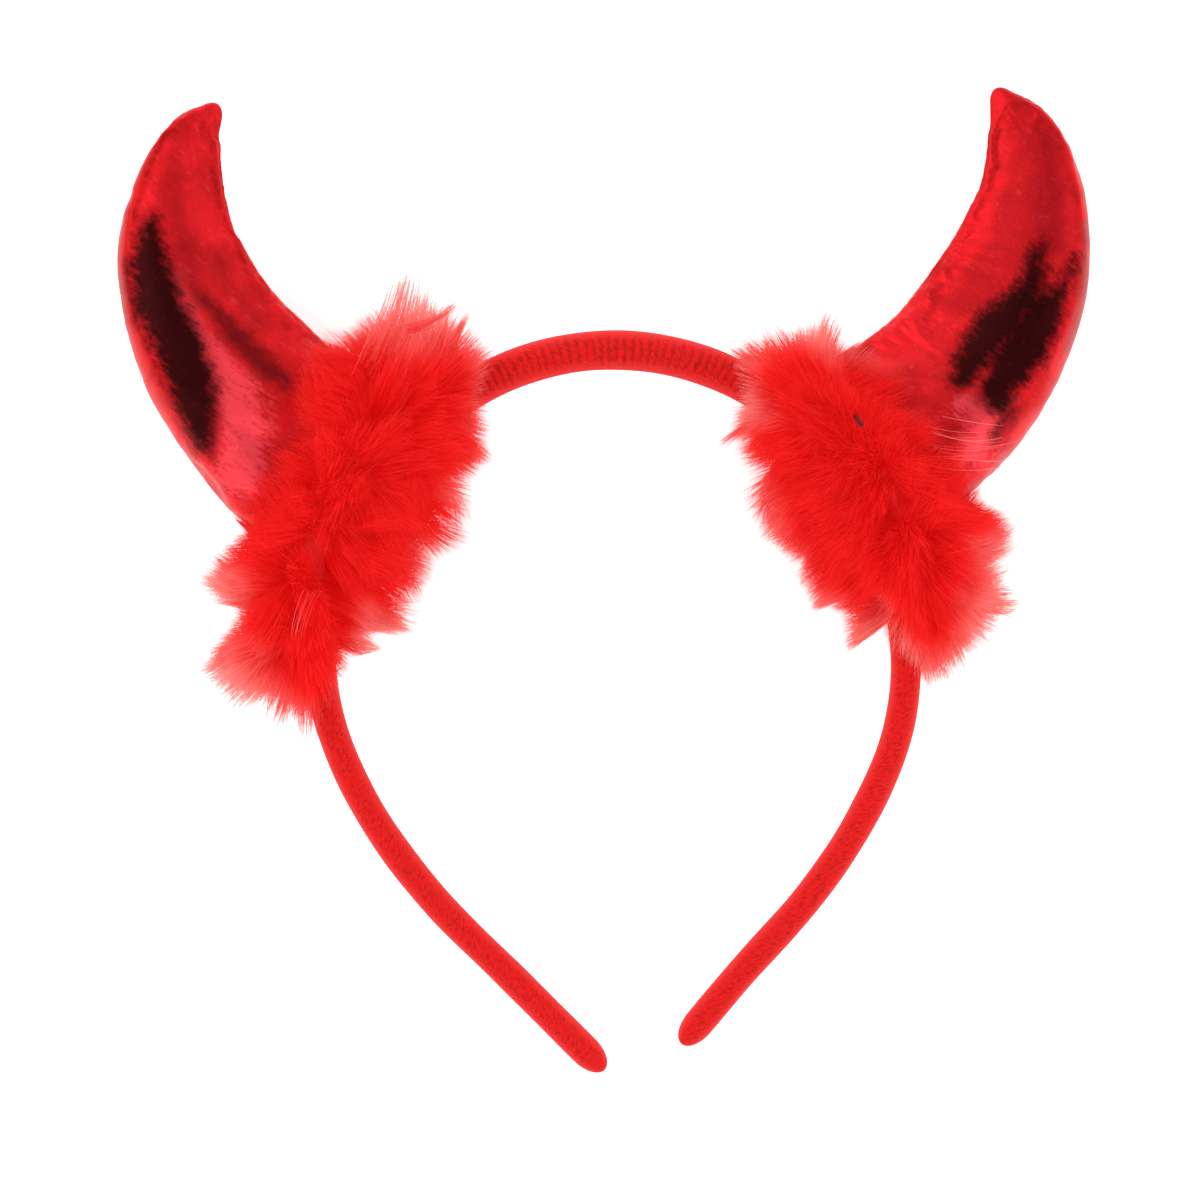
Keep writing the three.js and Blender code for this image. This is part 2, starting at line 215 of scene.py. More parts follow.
# The ribbed cord band.
bandLook = {
    "archWidth": 117,
    "crownRise": 63,
    "leftDrop": 81,
    "rightDrop": 75.8,
    "crownThickness": 8,
    "legThickness": 6.2,
    "crownDepth": 9,
    "legDepth": 7.4,
    "tipRounding": 5.5,
    "height": 16.5,
    "footReach": 12,
    "leftLeg": [(0.18, 0.952), (0.38, 0.819), (0.58, 0.612), (0.78, 0.335), (1, 0.03)],
    "rightLeg": [(0.2, 0.963), (0.41, 0.843), (0.61, 0.669), (0.82, 0.428), (1, 0.232)],
    "ribPitch": 1.62,
    "ribDepth": 0.22,
    "ribWander": 0.22,
    "ribBow": 0.35,
    "ribSlant": 0.3,
    "ribSharpness": 1.1,
    "ribEdge": 0.66,
    "legRibs": 0.3,
    "lumpHeight": 0.06,
    "stations": 1500,
    "sides": 36,
    "threadTurn": 0.6,
    "threadScale": (1.9, 0.7, 1),
    # The side colours are a painted sheen, lighter and pinker than the front; the groove colour and strength
    # paint shade in the grooves.
    "sideSheenColours": ((0.76, 0.024, 0.024), (0.84, 0.036, 0.036)),
    "frontColours": ((0.73, 0.0085, 0.0075), (0.85, 0.014, 0.013)),
    "speckColour": (0.3, 0.005, 0.004),
    "grooveShadeColour": (0.27, 0.006, 0.005),
    "grooveShadeStrength": 0.44,
}


# The band's centreline: half an ellipse over the crown, run on down each leg's table by a spline.
def bandLine(look, t):
    half = look["archWidth"] / 2
    turn = np.pi * (1 - np.arange(14) / 13)
    crown = np.stack([half * np.cos(turn), look["crownRise"] * np.sin(turn)], 1)
    left = [(-out * half, -down * look["leftDrop"]) for down, out in look["leftLeg"]][::-1]
    right = [(out * half, -down * look["rightDrop"]) for down, out in look["rightLeg"]]
    flat = splineAt(np.vstack([left, crown, right]), t)
    return np.column_stack([flat, np.full(len(flat), look["height"])])


# The band at evenly spaced lengths: centre, outward direction, half thickness, half depth and length from
# the tip. At a tip both halves shrink as a circle does: sqrt(1 - (1 - length / rounding)^2).
def bandSections(look, stations):
    dense = bandLine(look, np.linspace(0, 1, 8000))
    lengths = np.concatenate([[0], np.cumsum(np.linalg.norm(np.diff(dense, axis=0), axis=1))])
    total = lengths[-1]
    cap = look["tipRounding"] * (1 - np.cos(np.linspace(0.12, np.pi / 2, 12)))
    middle = np.linspace(look["tipRounding"], total - look["tipRounding"], stations)
    s = np.concatenate([cap[:-1], middle, total - cap[:-1][::-1]])
    centre = np.column_stack([np.interp(s, lengths, dense[:, k]) for k in range(3)])
    slopes = np.gradient(dense, lengths, axis=0)
    tangent = np.column_stack([np.interp(s, lengths, slopes[:, k]) for k in range(3)])
    outward = np.cross(up, unit(tangent))
    share = np.clip(centre[:, 1] / look["crownRise"], 0, 1)
    fromTip = np.minimum(np.minimum(s, total - s) / look["tipRounding"], 1)
    rounding = np.sqrt(1 - (1 - fromTip) ** 2)
    thinner, shallower = look["legThickness"], look["legDepth"]
    thickness = rounding * (thinner + share * (look["crownThickness"] - thinner)) / 2
    depth = rounding * (shallower + share * (look["crownDepth"] - shallower)) / 2
    return centre, outward, thickness, depth, s, share, dense[[0, -1]]


# The layout's place in the row frame: the band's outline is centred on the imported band's box.
sections = bandSections(bandLook, 900)
outline = np.vstack([sections[0] + k * sections[1] * sections[2][:, None] for k in (-1, 1)])
bandBox = np.array([list(corner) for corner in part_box("headband")]) * 1000
shift = np.append((bandBox.mean(0) - (outline.min(0) + outline.max(0)) / 2)[:2], 0)


# Layout millimetres to row-frame metres: (point + shift) / 1000.
def placed(points):
    return (np.asarray(points) + shift) * 0.001


# The band's skin: an oval carried along the centreline, sunk by the grooves between its ribs. Groove = (1 -
# |sin(pi * count)|)^sharpness, fading out towards the sides and down the legs, where count is the length over
# the pitch, wandering and bowed.
def makeBand(look):
    centre, outward, thickness, depth, s, crownShare, ends = bandSections(look, look["stations"])
    turn = np.arange(look["sides"]) * 2 * np.pi / look["sides"]
    cos, sin = np.cos(turn)[None, :], np.sin(turn)[None, :]
    shifted = s[:, None] / look["ribPitch"] + look["ribWander"] * wander(s / 4, 3)[:, None]
    count = shifted + look["ribBow"] * cos**2 + (look["ribSlant"] * wander(s / 9, 4))[:, None] * cos
    dip = (1 - np.abs(np.sin(np.pi * count))) ** look["ribSharpness"]
    edge = (look["ribEdge"] + 0.12 * wander(s / 0.8, 6))[:, None]
    across = np.abs(cos + 0.14 * wander(s / 11, 7)[:, None])
    middle = 0.08 + 0.92 * (1 - smooth(edge - 0.22, edge + 0.14, across))
    legShare = look["legRibs"]
    along = (legShare + (1 - legShare) * smooth(0.1, 0.55, crownShare)) * (0.9 + 0.2 * wander(s / 2.3, 8))
    groove = np.clip(dip * middle * along[:, None], 0, 1)
    lumps = look["lumpHeight"] * wander(s / 6, 5)[:, None] * np.ones_like(cos)
    normal = unit(np.stack(np.broadcast_arrays(cos / 4, sin / 4.5), -1))
    sink = (lumps - look["ribDepth"] * groove)[..., None] * normal
    sink = sink * np.clip(thickness / thickness.max() * 1.6, 0, 1)[:, None, None]
    x = thickness[:, None] * cos + sink[..., 0]
    z = depth[:, None] * sin + sink[..., 1]
    grid = centre[:, None, :] + outward[:, None, :] * x[..., None] + up * z[..., None]
    piece = closedSkin("cord_band", placed(grid), s, turn * 4, placed(ends))
    addAttribute(piece, "groove", groove)
    addAttribute(piece, "middle", (1 - smooth(0.4, 0.95, np.abs(cos))) * np.ones_like(groove))
    return piece


# Ribbed satin cord: red, with painted shade darkening the grooves and a painted pinker sheen along its sides,
# with fine slanting threads and darker specks among them.
def cordMaterial(look):
    material, tree = newMaterial("ribbed_cord")
    where = addNode(tree, "ShaderNodeTexCoord", None, None, "UV")
    turned = addNode(tree, "ShaderNodeMapping", None, {"Vector": where, "Rotation": (0, 0, look["threadTurn"])})
    scaled = {0: turned, 1: look["threadScale"]}
    spread = addNode(tree, "ShaderNodeVectorMath", {"operation": "MULTIPLY"}, scaled)
    twill = noiseOver(tree, spread, 1, Detail=3, Roughness=0.65)
    patches = noiseOver(tree, where, 0.35, Detail=3)
    groove = attributeOf(tree, "groove")
    middle = attributeOf(tree, "middle")
    specks = stepBetween(tree, twill + patches * 0.3, 0.58, 0.84) * (middle * 0.5 + 0.12)
    # Painted sheen: the cord's sides get a lighter, pinker red than its front.
    edge = blendColours(tree, patches, *look["sideSheenColours"])
    front = blendColours(tree, patches, *look["frontColours"])
    ground = blendColours(tree, middle, edge, front)
    speckled = blendColours(tree, specks, ground, look["speckColour"])
    # Painted shade: the colour darkens down into each groove between the ribs.
    paintedDark = stepBetween(tree, groove * (0.75 + twill * 0.5), 0.02, 0.85)
    colour = blendColours(tree, paintedDark * look["grooveShadeStrength"], speckled, look["grooveShadeColour"])
    bump = addNode(tree, "ShaderNodeBump", None, {"Strength": 0.4, "Distance": 0.0002, "Height": twill})
    inputs = {"Base Color": colour, "Roughness": 0.55 + twill * 0.3, "Normal": bump, "Sheen Weight": 0.06,
              "Sheen Roughness": 0.35, "Sheen Tint": (1.0, 0.4, 0.4), "Specular IOR Level": 0.1}
    finishMaterial(tree, addNode(tree, "ShaderNodeBsdfPrincipled", None, inputs))
    return material


print("band")
band = makeBand(bandLook)
band.data.materials.append(cordMaterial(bandLook))
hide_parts("headband")
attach(band, "root")

# The stuffed horns. Rows run from the foot to the tip: reach and lean as shares, width and depth as shares
# of the foot's. Marks are chains of spots, each a length from the foot, an offset across and a radius.
hornLook = {
    "footWidth": 38.5,
    "footDepth": 29,
    "ridge": 0.5,
    "tipLength": 2.2,
    "tipStart": 0.8,
    "tipRings": 6,
    "footRings": 8,
    "heldRings": 12,
    "stations": 132,
    "sides": 72,
    "clearance": 0.4,
    "simFrames": 20,
    "pressure": 4,
    "slack": 0.04,
    "mostMove": 1.1,
    "markEdge": 2.5,
    "seamDepth": 0.2,
    "seamWidth": 0.7,
    "puckerHeight": 0.035,
    "puckerPitch": 4.3,
    "puckerReach": 5,
    "foldHeight": 0.07,
    "lineTurn": 0.65,
    "lineScale": (330, 1250, 950),
    "redColours": ((0.52, 0.009, 0.011), (0.7, 0.012, 0.017)),
    "lineColour": (0.85, 0.03, 0.045),
    "paintedDimColour": (0.3, 0.004, 0.007),
    "glintColour": (1.0, 0.07, 0.095),
    "paintedDarkFringeColour": (0.24, 0.003, 0.005),
    "shadeColour": (0.1, 0.002, 0.003),
    "paintedEdgeReflectionColour": (0.36, 0.04, 0.042),
    "paintedDarkColour": (0.022, 0.001, 0.0012),
    "seamColour": (0.2, 0.006, 0.008),
}
# Each horn's marks paint light and shade into the foil's colour: near-black dark reflections, shade, pinkish
# highlights, a muted grazing reflection along the outer edge and dimmer stretches.
horns = {
    "left": {
        "side": -1, "foot": 33, "reach": 68, "lean": 49, "seamTurn": -0.25, "seed": 21,
        "rows": [(0, 0, 1, 1), (0.24, 0.02, 0.99, 0.99), (0.45, 0.105, 0.92, 0.93), (0.61, 0.195, 0.84, 0.86),
                 (0.745, 0.32, 0.735, 0.77), (0.85, 0.46, 0.64, 0.67), (0.915, 0.61, 0.515, 0.54),
                 (0.958, 0.76, 0.4, 0.42), (0.978, 0.9, 0.27, 0.28), (0.972, 1, 0.13, 0.14)],
        "paintedDark": [[(68, 4.8, 1.8), (61.1, 6, 4), (56.6, 6.1, 4.9), (51.1, 5.9, 4.9), (45.8, 5.7, 4.9),
                  (39, 7.1, 4.8), (33.9, 9.6, 4), (28.8, 12.9, 2.4)]],
        "shade": [[(57, -0.5, 1), (51.5, -2.6, 1.8), (46, -4.6, 2.4), (40, -5.4, 3), (33, -6.4, 2.8),
                   (28, -7, 1.8)]],
        "paintedHighlight": [[(57.5, 1.8, 2), (51.6, 1.8, 2.4), (42.8, 1.9, 3.2), (32.2, 1.9, 5), (25.6, 4.5, 5),
                    (20, 12, 4)]],
        "paintedEdgeReflection": [[(60.4, 12, 0.8), (52.3, 14.4, 0.8), (44.3, 16.5, 0.8)]],
        "paintedDim": [[(78, 1, 1), (70, -0.5, 2), (60, -2.5, 2)], [(62, -7, 1), (40, -11, 1.5)]],
    },
    "right": {
        "side": 1, "foot": 38, "reach": 71.5, "lean": 42, "seamTurn": 0.3, "seed": 34,
        "rows": [(0, 0, 0.99, 1), (0.26, 0.005, 0.965, 0.99), (0.42, 0.045, 0.92, 0.93),
                 (0.56, 0.135, 0.865, 0.86), (0.69, 0.255, 0.79, 0.77), (0.79, 0.39, 0.685, 0.67),
                 (0.875, 0.54, 0.565, 0.54), (0.93, 0.7, 0.45, 0.42), (0.96, 0.86, 0.32, 0.29),
                 (0.968, 1, 0.13, 0.14)],
        "paintedDark": [[(58.9, -2.7, 0.8), (54.6, -2.9, 1.6), (49.1, -3.1, 3), (42.3, -0.5, 4.4), (36.1, 1.2, 3.8),
                  (31.3, 0.3, 3.4), (28.1, 0, 2.2)],
                 [(58.3, -10.3, 0.6), (53.1, -9.5, 1.2), (47.9, -7.6, 3.8), (41.6, -7.1, 4.8),
                  (35.1, -6.1, 4.4), (30.8, -6.8, 3.4), (29.5, -11.1, 1.8), (25.5, -12.3, 0.8)]],
        "shade": [[(62, -2.9, 0.8), (56, -3.2, 2.6), (50, -4.5, 4)]],
        "paintedHighlight": [[(25.5, -4, 2.6), (27.4, -9.4, 3.6), (21, -12, 3)]],
        "paintedEdgeReflection": [[(64.5, -10.9, 1), (57.3, -12.4, 1), (49.6, -14.2, 1), (44, -14.6, 1)]],
        "paintedDim": [[(82, -3, 1), (79.4, -4.2, 1.6), (74.1, -3.6, 2.4), (67, -4.5, 2), (60, -6, 2.5)],
                [(82, 0, 2), (74, 1, 4), (66, 1.5, 5.5), (58, 2, 6), (50, 6, 4.5), (42, 8, 3)]],
    },
}


# A foot's place on the crown's ellipse, with its outward normal and the direction down along the band.
def footOf(horn):
    angle, side = math.radians(horn["foot"]), horn["side"]
    half, rise = bandLook["archWidth"] / 2, bandLook["crownRise"]
    point = np.array([side * math.cos(angle) * half, math.sin(angle) * rise, bandLook["height"]])
    outwards = unit(np.array([side * math.cos(angle) / half, math.sin(angle) / rise, 0]))
    down = np.array([side * outwards[1], -side * outwards[0], 0])
    return point, outwards, down


# A horn's sections: centres and sizes by splines through its rows, a direction across each, then the rounded
# tip. There, size = last size * cos(turn) / cos(start), and the way on grows as sin(turn) - sin(start).
def hornSections(look, horn, stations):
    point, outwards, down = footOf(horn)
    rows = np.array(horn["rows"])
    centres = point + rows[:, :1] * horn["reach"] * outwards - rows[:, 1:2] * horn["lean"] * down
    sizes = rows[:, 2:] * [look["footWidth"] / 2, look["footDepth"] / 2]
    t = np.linspace(0, 1, stations)
    centre, size = splineAt(centres, t), splineAt(sizes, t)
    ahead = np.minimum(t + 1e-3, 1)
    tangent = unit(splineAt(centres, ahead) - splineAt(centres, ahead - 2e-3))
    start, rings = look["tipStart"], look["tipRings"]
    turn = np.linspace(start, 1.5, rings + 1)[1:, None]
    tip = centre[-1] + tangent[-1] * look["tipLength"] * (np.sin(turn) - np.sin(start)) / (1 - np.sin(start))
    centre = np.vstack([centre, tip])
    size = np.vstack([size, size[-1] * np.cos(turn) / np.cos(start)])
    tangent = np.vstack([tangent, np.repeat(tangent[-1:], rings, 0)])
    pole = centre[stations - 1] + tangent[-1] * look["tipLength"]
    lengths = np.concatenate([[0], np.cumsum(np.linalg.norm(np.diff(centre, axis=0), axis=1))])
    return centre, size, np.cross(up, tangent), lengths, pole


# A horn's skin: ovals carried along its line, fullest towards the outer curve: height = sin(turn) * (1 +
# ridge * cos(turn)). Rings inside the foot close it, and the foot is pushed clear of the band that it sits on.
def hornGrid(look, horn):
    centre, size, across, lengths, pole = hornSections(look, horn, look["stations"])
    turn = np.arange(look["sides"]) * 2 * np.pi / look["sides"]
    cos, sin = np.cos(turn)[None, :, None], np.sin(turn)[None, :, None]
    full = 1 + look["ridge"] * -horn["side"] * cos
    full = full / (1 + look["ridge"] * 0.33)
    grid = centre[:, None] + across[:, None] * size[:, None, :1] * cos + up * size[:, None, 1:] * sin * full
    inner = centre[0] + (grid[0] - centre[0]) * np.linspace(0.15, 0.94, look["footRings"])[:, None, None]
    grid = np.concatenate([inner, grid])
    lengths = np.concatenate([np.linspace(-14, -1, look["footRings"]), lengths])
    poles = clearOfBand(np.array([centre[0], pole]), horn, look["clearance"])
    return clearOfBand(grid, horn, look["clearance"]), poles, turn, lengths


# Moves points near a foot outwards until they are off the band: out = half thickness * sqrt(1 - (z / half
# depth)^2) - along^2 / width, the last term being the crown's sag.
def clearOfBand(points, horn, clearance):
    point, outwards, down = footOf(horn)
    apart = points - point
    out, along, z = apart @ outwards, apart @ down, apart[..., 2]
    reach = bandLook["crownDepth"] / 2 + clearance
    oval = np.sqrt(np.clip(1 - (z / reach) ** 2, 0, 1)) * (bandLook["crownThickness"] / 2 + clearance)
    limit = np.where(np.abs(z) < reach, oval - along**2 / bandLook["archWidth"], -1e3)
    lift = np.clip(limit - out, 0, None) * (np.abs(out) < bandLook["footReach"])
    return points + lift[..., None] * outwards


# Swells the stuffed cloth: a cloth simulation with pressure inside, its foot and seams held. Each step is
# then eased to step * tanh(size / most) * most / size, so that no point moves too far.
def stuff(piece, look, held):
    rest = np.empty(len(piece.data.vertices) * 3)
    piece.data.vertices.foreach_get("co", rest)
    group = piece.vertex_groups.new(name="held")
    for index in np.flatnonzero(held > 0):
        group.add([int(index)], float(held[index]), "REPLACE")
    cloth = piece.modifiers.new("cloth", "CLOTH")
    cloth.collision_settings.use_collision = False
    settings = cloth.settings
    settings.quality = 6
    settings.mass = 0.2
    settings.tension_stiffness = settings.compression_stiffness = 12
    settings.shear_stiffness = 6
    settings.bending_stiffness = 0.4
    settings.use_pressure = True
    settings.uniform_pressure_force = look["pressure"]
    settings.shrink_min = -look["slack"]
    settings.vertex_group_mass = "held"
    settings.effector_weights.gravity = 0
    scene = bpy.context.scene
    cloth.point_cache.frame_start = 1
    cloth.point_cache.frame_end = look["simFrames"]
    for number in range(1, look["simFrames"] + 1):
        scene.frame_set(number)
    bent = piece.evaluated_get(bpy.context.evaluated_depsgraph_get()).to_mesh()
    moved = np.empty(len(rest))
    bent.vertices.foreach_get("co", moved)
    piece.modifiers.remove(cloth)
    scene.frame_set(1)
    rest, moved = rest.reshape(-1, 3), moved.reshape(-1, 3)
    step = moved - rest
    size = np.linalg.norm(step, axis=1, keepdims=True)
    most = look["mostMove"] * 0.001
    print("  cloth moved %.2f mm at most" % (float(size.max()) * 1000))
    result = rest + step / np.maximum(size, 1e-9) * most * np.tanh(size / most)
    piece.data.vertices.foreach_set("co", result.astype(np.float32).ravel())
    piece.data.update()
    piece.vertex_groups.clear()


# How far inside chains of round spots each point of a skin is: (radius - distance from the chain) / edge,
# between -1 and 1, the deepest of all chains.
def markField(chains, s, x, edge):
    field = np.full(x.shape, -1.0)
    for chain in chains:
        for (s0, x0, r0), (s1, x1, r1) in zip(chain[:-1], chain[1:]):
            step = np.array([s1 - s0, x1 - x0])
            along, aside = s - s0, x - x0
            share = np.clip((along * step[0] + aside * step[1]) / (step @ step), 0, 1)
            distance = np.hypot(along - share * step[0], aside - share * step[1])
            field = np.maximum(field, (r0 + share * (r1 - r0) - distance) / edge)
    return np.minimum(field, 1)


# Brings each ring of a swollen horn back to its width and middle across: x = (x - middle) * width / swollen
# width.
def fitAcross(points, centre, across, halfWidth):
    x = ((points - centre[:, None]) * across[:, None]).sum(2)
    high, low = x.max(1, keepdims=True), x.min(1, keepdims=True)
    fitted = (x - (high + low) / 2) * 2 * halfWidth[:, None] / (high - low)
    return points + (fitted - x)[..., None] * across[:, None]


# One horn: the skin, stuffed, then its two seams drawn in with puckers beside them and soft folds across it.
# Seam = depth * exp(-(distance / width)^2); pucker = height * exp(-distance / reach) * sin(2 pi length /
# pitch); fold = height * wander along * wander round.
def makeHorn(name, look, horn):
    grid, poles, turn, lengths = hornGrid(look, horn)
    n, m = grid.shape[:2]
    piece = closedSkin(name, placed(grid), lengths, turn * 5.5, placed(poles))
    outer = (np.pi if horn["side"] > 0 else 0) + horn["seamTurn"]
    away = [np.abs((turn - start + np.pi) % (2 * np.pi) - np.pi) for start in (outer, outer + np.pi)]
    radius = np.linalg.norm(grid - grid.mean(1, keepdims=True), axis=2).mean(1)
    distance = np.minimum(*away)[None, :] * radius[:, None]
    ring, kept = np.arange(n), look["heldRings"]
    ends = np.where((ring < kept) | (ring > n - kept), 1.0, 0.0)
    held = np.clip(ends[:, None] + 0.6 * np.exp(-((distance / 1.2) ** 2)), 0, 1)
    stuff(piece, look, np.append(held.ravel(), [1, 1]))
    flat = np.empty(len(piece.data.vertices) * 3)
    piece.data.vertices.foreach_get("co", flat)
    points = flat.reshape(-1, 3)[: n * m].reshape(n, m, 3) * 1000 - shift
    centre, size, across = hornSections(look, horn, look["stations"])[:3]
    first = look["footRings"]
    points[first:] = fitAcross(points[first:], centre, across, size[:, 0])
    along, around = np.gradient(points, axis=0), np.roll(points, -1, 1) - np.roll(points, 1, 1)
    normal = unit(np.cross(around, along))
    s = lengths[:, None]
    seam = np.exp(-((distance / look["seamWidth"]) ** 2)) * look["seamDepth"]
    sway = 2 * np.pi * s / look["puckerPitch"] + 1.6 * wander(s / 6, horn["seed"])
    ripple = np.sin(sway + 0.5 * away[0][None, :])
    pucker = look["puckerHeight"] * np.exp(-distance / look["puckerReach"]) * ripple
    taper = smooth(-1, 6, s) * smooth(2, 12, lengths[-1] - s)
    sideOf = np.sin(turn)[None, :]
    alongFold = wander(s / 7 + 2.2 * sideOf, horn["seed"] + 1)
    roundFold = wander(3 * turn[None, :] + s / 30, horn["seed"] + 2)
    folds = look["foldHeight"] * alongFold * roundFold
    points = points + ((pucker + folds - seam) * taper)[..., None] * normal
    points = clearOfBand(points, horn, look["clearance"])
    everything = np.vstack([placed(points).reshape(-1, 3), flat.reshape(-1, 3)[n * m:]])
    piece.data.vertices.foreach_set("co", everything.astype(np.float32).ravel())
    piece.data.update()
    halfWidth = np.append(np.full(first, size[0, 0]), size[:, 0])[:, None]
    x = np.cos(turn)[None, :] * halfWidth
    # Masks of the painted reflections, shade and highlights on the foil.
    for mark in ("paintedDark", "shade", "paintedHighlight", "paintedEdgeReflection", "paintedDim"):
        addAttribute(piece, mark, markField(horn[mark], s, x, look["markEdge"]))
    addAttribute(piece, "seam", np.exp(-((distance / 0.5) ** 2)))
    addAttribute(piece, "height", s / lengths[-1] + 0 * x)
    finer = piece.modifiers.new("finer", "SUBSURF")
    finer.levels = finer.render_levels = 1
    return piece


# Foil cloth: metallic red in fine slanting lines, with light painted into its colour: near-black painted
# reflections of the dark, painted shade, painted pinkish glints, darker fringes, dimmer stretches and a muted
# grazing reflection along the outer edge, with ragged edges between them, and duller and mottled towards the
# tip.
def foilMaterial(look):
    material, tree = newMaterial("red_foil_cloth")
    where = addNode(tree, "ShaderNodeTexCoord", None, None, "Object")
    turned = addNode(tree, "ShaderNodeMapping", None, {"Vector": where, "Rotation": (0, 0, look["lineTurn"])})
    scaled = {0: turned, 1: look["lineScale"]}
    stretched = addNode(tree, "ShaderNodeVectorMath", {"operation": "MULTIPLY"}, scaled)
    lines = noiseOver(tree, stretched, 1, Detail=2, Roughness=0.6)
    grain = noiseOver(tree, where, 1300, Detail=2)
    ragged = noiseOver(tree, where, 330, Detail=4, Roughness=0.6)
    mottle = noiseOver(tree, where, 120, Detail=4, Roughness=0.65)
    names = ("paintedDark", "shade", "paintedHighlight", "paintedEdgeReflection", "paintedDim", "seam", "height")
    marks = {name: attributeOf(tree, name) for name in names}
    speckle = (lines - 0.5) * 3.4 + (grain - 0.5) * 1.6
    broad = (ragged - 0.5) * 2
    # Painted reflection: near-black patches where the foil would mirror the dark ceiling.
    paintedDark = stepBetween(tree, marks["paintedDark"] + speckle * 0.42 + broad * 0.7, -0.65, 0.85)
    shade = stepBetween(tree, marks["shade"] + speckle * 0.3 + broad * 0.5, -0.7, 1.0)
    # Painted highlight: pinkish glints on the foil.
    paintedHighlight = stepBetween(tree, marks["paintedHighlight"] + speckle * 0.9 + broad * 0.6, -0.7, 1.2)
    # Painted grazing reflection: a muted strip along the outer edge, where the foil is seen edge-on.
    paintedEdgeReflection = stepBetween(tree, marks["paintedEdgeReflection"] + broad * 0.3, -0.4, 0.5)
    # Painted dimming: stretches of the foil darkened to stand in for dimmer reflections.
    paintedDim = stepBetween(tree, marks["paintedDim"] + broad * 0.8 + speckle * 0.2, -0.9, 0.9)
    # Painted dark fringe: a soft darker red round each painted dark reflection.
    paintedDarkFringe = stepBetween(tree, marks["paintedDark"] + speckle * 0.35 + broad * 0.6, -1.0, 0.3)
    colour = blendColours(tree, stepBetween(tree, mottle, 0.35, 0.62), *look["redColours"])
    layers = ((stepBetween(tree, lines, 0.5, 0.8) * 0.4, "line"), (paintedDim * 0.6, "paintedDim"), (paintedHighlight * 0.85, "glint"),
              (paintedDarkFringe * 0.55, "paintedDarkFringe"), (shade * 0.85, "shade"), (paintedEdgeReflection * 0.8, "paintedEdgeReflection"), (paintedDark * 0.97, "paintedDark"),
              (marks["seam"] * 0.35, "seam"))
    for share, name in layers:
        colour = blendColours(tree, share, colour, look[name + "Colour"])
    height = lines * 0.7 + grain * 0.4 + mottle * 0.9
    bump = addNode(tree, "ShaderNodeBump", None, {"Strength": 0.45, "Distance": 0.00022, "Height": height})
    rough = 0.3 + mottle * 0.1 + lines * 0.1 + marks["height"] * 0.12
    inputs = {"Base Color": colour, "Metallic": 0.9, "Roughness": rough, "Normal": bump,
              "Specular IOR Level": 0.3}
    finishMaterial(tree, addNode(tree, "ShaderNodeBsdfPrincipled", None, inputs))
    return material


print("horns")
foil = foilMaterial(hornLook)
for sideName, horn in horns.items():
    piece = makeHorn("foil_horn_" + sideName, hornLook, horn)
    piece.data.materials.append(foil)
    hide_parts("horn_" + sideName)
    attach(piece, "root")

# The marabou trims: plumes on an oval ring round each horn's foot. Outline rows are the turn about the trim's
# middle, from the leg's side towards the horn, in degrees, and how far the fluff reaches there. Lobes, the
# thin stretches of the rim where more pale see-through light is painted, are a turn and a width in degrees.
# Tufts are a tip and a radius.
trimLook = {
    "ringDepth": 18,
    "ringSeat": 5,
    "ringRadius": 3.4,
    "rise": 34.5,
    "lowest": 0.5,
    "places": 1500,
    "goldenAngle": 2.399963,
    "plumes": 300,
    "plumeRadius": 7.5,
    "dome": 0.14,
    "barbs": 70000,
    "barbLength": 15,
    "barbWidth": 0.16,
    "bulge": 0.11,
    "sway": 0.8,
    "upperShare": 0.6,
    "mostBarbs": 39000,
    "mostOver": 1.06,
    "hornGap": 0.5,
    "redColours": ((0.78, 0.014, 0.014), (0.88, 0.027, 0.025)),
    "patchColour": (0.7, 0.008, 0.008),
    "tipColour": (0.97, 0.08, 0.08),
    # The pale colour is painted see-through light at the fluff's thin rim.
    "paintedSeeThroughColour": (0.9, 0.45, 0.41),
    "throughColour": (0.86, 0.022, 0.021),
    # The glow is a painted emission that lifts the shade among the barbs.
    "glow": 0.22,
}
trims = {
    "left": {
        "horn": "left", "halfLength": 25.5, "shift": 4.5, "seed": 5,
        "lobes": [(5, 14), (29, 10), (169, 9), (230, 8), (272, 24), (318, 8)],
        "tufts": [(-47, 1, 3, 1.5), (-45.5, 12, -2, 4), (-42, -6, 0, 2.2), (45, -8, 0, 3.5), (47, 6, 0, 5),
                  (44, 11, 4, 4), (44, 10, -6, 4), (27.5, 21.5, 2, 4.5), (28, 20, -7, 4.5), (23, -19, 0, 4)],
        "outline": [(7, 47), (14, 44.8), (20, 33.4), (35, 34.4), (44, 31), (51, 22.8), (73, 21.6), (115, 25.2),
                    (132, 38), (143, 37.2), (157, 41.4), (167, 46.6), (178, 45.2), (191, 41.8), (202, 32.8),
                    (212, 32.2), (228, 25.4), (250, 25.4), (269, 22), (289, 24.8), (304, 25.4), (316, 26),
                    (329, 27), (338, 47), (351, 45.2)],
    },
    "right": {
        "horn": "right", "halfLength": 22.5, "shift": 6, "seed": 6,
        "lobes": [(8, 12), (28, 9), (158, 8), (196, 8), (247, 26), (335, 10)],
        "tufts": [(23.6, -20.4, 0, 1.8), (-33.5, 17, 3, 4.5), (-34, 15, -6, 4.5), (-40, -5, 0, 3.5),
                  (38.5, 14, 2, 4), (40, 3, 0, 4), (-22, -20, 2, 4), (-12, -22, -4, 4)],
        "outline": [(0, 40), (8, 39), (20, 36.6), (30, 32), (47, 31.6), (54, 23), (104, 23), (147, 30),
                    (154, 36.4), (166, 37.4), (177, 39), (187, 38.6), (195, 32.4), (215, 30), (224, 25.4),
                    (242, 25.8), (266, 23.6), (279, 21), (300, 24.6), (312, 24), (318, 30.6), (328, 26.4),
                    (343, 41), (356, 40.2)],
    },
}


